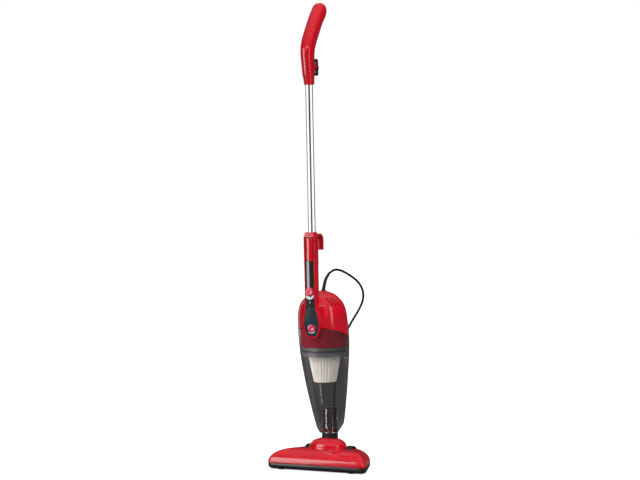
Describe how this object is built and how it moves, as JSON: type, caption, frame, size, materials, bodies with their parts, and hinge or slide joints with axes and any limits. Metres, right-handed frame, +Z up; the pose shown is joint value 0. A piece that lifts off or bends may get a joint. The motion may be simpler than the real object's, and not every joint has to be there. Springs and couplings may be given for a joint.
{
  "type": "upright vacuum cleaner",
  "caption": "Corded upright stick vacuum cleaner: wheeled floor head, tilting neck, clear dust cup with pleated filter, motor housing with grip, steel rod and curved handle.",
  "frame": {"origin": "on the floor, in the mirror plane, under the land of the floor head", "axes": "+Z up, -Y to the front of the floor head, X along the tilt and wheel axes"},
  "size_m": [0.2899, 0.3149, 1.1341],
  "materials": {
    "black_plastic": "satin black",
    "red_plastic": "high gloss red",
    "smoke_plastic": "clear smoke plastic",
    "slate_plastic": "satin slate",
    "brush_fibre": "short pile",
    "tyre_rubber": "matt",
    "soft_rubber": "matt",
    "cord_rubber": "satin",
    "filter_paper": "pleated paper",
    "cap_plastic": "satin ivory",
    "chrome_tube": "polished",
    "steel_parts": "satin",
    "light_metal": "satin",
    "brass_parts": "bright",
    "carbon": "matt carbon"
  },
  "bodies": {
    "floor_head": {"head_base": "black_plastic", "head_cover": "red_plastic", "neck_cover": "red_plastic", "air_duct": "black_plastic", "front_brush": "brush_fibre", "rear_lint_strip": "brush_fibre", "wheel_axle_left": "steel_parts", "wheel_axle_right": "steel_parts", "roller_pins": "steel_parts", "pivot_caps": "black_plastic", "head_screws": "steel_parts"},
    "wheel_left": {"wheel_left": "tyre_rubber"},
    "wheel_right": {"wheel_right": "tyre_rubber"},
    "roller_left": {"roller_left": "tyre_rubber"},
    "roller_right": {"roller_right": "tyre_rubber"},
    "neck": {"neck_socket": "black_plastic", "neck_seal": "soft_rubber"},
    "neck_latch": {"neck_latch": "black_plastic"},
    "dust_cup": {"dust_cup": "smoke_plastic", "cup_duct": "smoke_plastic"},
    "inlet_flap": {"inlet_flap": "black_plastic"},
    "housing": {"housing_left": "red_plastic", "housing_right": "red_plastic", "grip_inlay": "black_plastic", "lower_panel": "slate_plastic", "switch_body": "black_plastic", "cup_release_spring": "steel_parts", "rod_release_spring": "steel_parts", "inlet_grille": "black_plastic", "fan_shroud": "steel_parts", "motor_can": "steel_parts", "motor_mount_front": "soft_rubber", "motor_mount_rear": "soft_rubber", "carbon_brushes": "carbon", "exhaust_foam": "filter_paper", "strain_relief": "soft_rubber", "housing_screws": "steel_parts", "filter_frame": "slate_plastic", "cup_seal": "soft_rubber", "pleated_filter": "filter_paper", "filter_cap": "cap_plastic", "cord_tube": "cord_rubber", "cord_tail": "cord_rubber", "cord_coil": "cord_rubber", "cord_tie": "slate_plastic", "plug_body": "black_plastic", "plug_pins": "brass_parts"},
    "power_knob": {"power_knob": "red_plastic"},
    "cup_release_button": {"cup_release_button": "red_plastic"},
    "rod_release_button": {"rod_release_button": "red_plastic"},
    "rotor": {"rotor": "steel_parts", "impeller": "light_metal"},
    "rod": {"rod_tube": "chrome_tube", "handle_left": "red_plastic", "handle_right": "red_plastic", "handle_screws": "steel_parts", "hook_screw": "steel_parts"},
    "upper_hook": {"upper_cord_hook": "black_plastic"}
  },
  "joints": [
    {"name": "wheel_left_spin", "type": "hinge", "parent": "floor_head", "child": "wheel_left", "pos_m": [-0.0548, 0.039, 0.028], "axis": [1, 0, 0], "continuous": true},
    {"name": "wheel_right_spin", "type": "hinge", "parent": "floor_head", "child": "wheel_right", "pos_m": [0.0548, 0.039, 0.028], "axis": [1, 0, 0], "continuous": true},
    {"name": "roller_left_spin", "type": "hinge", "parent": "floor_head", "child": "roller_left", "pos_m": [-0.093, -0.0465, 0.004], "axis": [1, 0, 0], "continuous": true},
    {"name": "roller_right_spin", "type": "hinge", "parent": "floor_head", "child": "roller_right", "pos_m": [0.093, -0.0465, 0.004], "axis": [1, 0, 0], "continuous": true},
    {"name": "neck_tilt", "type": "hinge", "parent": "floor_head", "child": "neck", "pos_m": [0, 0.038, 0.04], "axis": [-1, 0, 0], "range_deg": [0, 78]},
    {"name": "neck_latch_press", "type": "slide", "parent": "neck", "child": "neck_latch", "axis": [0, -0.9989, -0.0471], "range_m": [0, 0.0012], "stiffness_N_per_m": 400},
    {"name": "unit_lift", "type": "slide", "parent": "neck", "child": "dust_cup", "axis": [0, -0.0471, 0.9989], "range_m": [0, 0.06]},
    {"name": "flap_swing", "type": "hinge", "parent": "dust_cup", "child": "inlet_flap", "pos_m": [0, 0.05292, 0.14812], "axis": [-1, 0, 0], "range_deg": [0, 75]},
    {"name": "cup_separate", "type": "slide", "parent": "dust_cup", "child": "housing", "axis": [0, -0.0471, 0.9989], "range_m": [0, 0.07]},
    {"name": "rotor_spin", "type": "hinge", "parent": "housing", "child": "rotor", "pos_m": [0, -0.0061, 0.33825], "axis": [0, -0.0471, 0.9989], "continuous": true},
    {"name": "power_slide", "type": "slide", "parent": "housing", "child": "power_knob", "axis": [0, 0.0471, -0.9989], "range_m": [0, 0.006]},
    {"name": "cup_release_press", "type": "slide", "parent": "housing", "child": "cup_release_button", "axis": [0, 0.9989, 0.0471], "range_m": [0, 0.0015], "stiffness_N_per_m": 500, "deforming": ["cup_release_spring"]},
    {"name": "rod_release_press", "type": "slide", "parent": "housing", "child": "rod_release_button", "axis": [0, 0.9989, 0.0471], "range_m": [0, 0.002], "stiffness_N_per_m": 500, "deforming": ["rod_release_spring"]},
    {"name": "rod_lift", "type": "slide", "parent": "housing", "child": "rod", "axis": [0, -0.0471, 0.9989], "range_m": [0, 0.1]},
    {"name": "hook_swivel", "type": "hinge", "parent": "rod", "child": "upper_hook", "pos_m": [0, -0.05014, 0.97489], "axis": [0, 0.9989, 0.0471], "range_deg": [0, 180]}
  ]
}
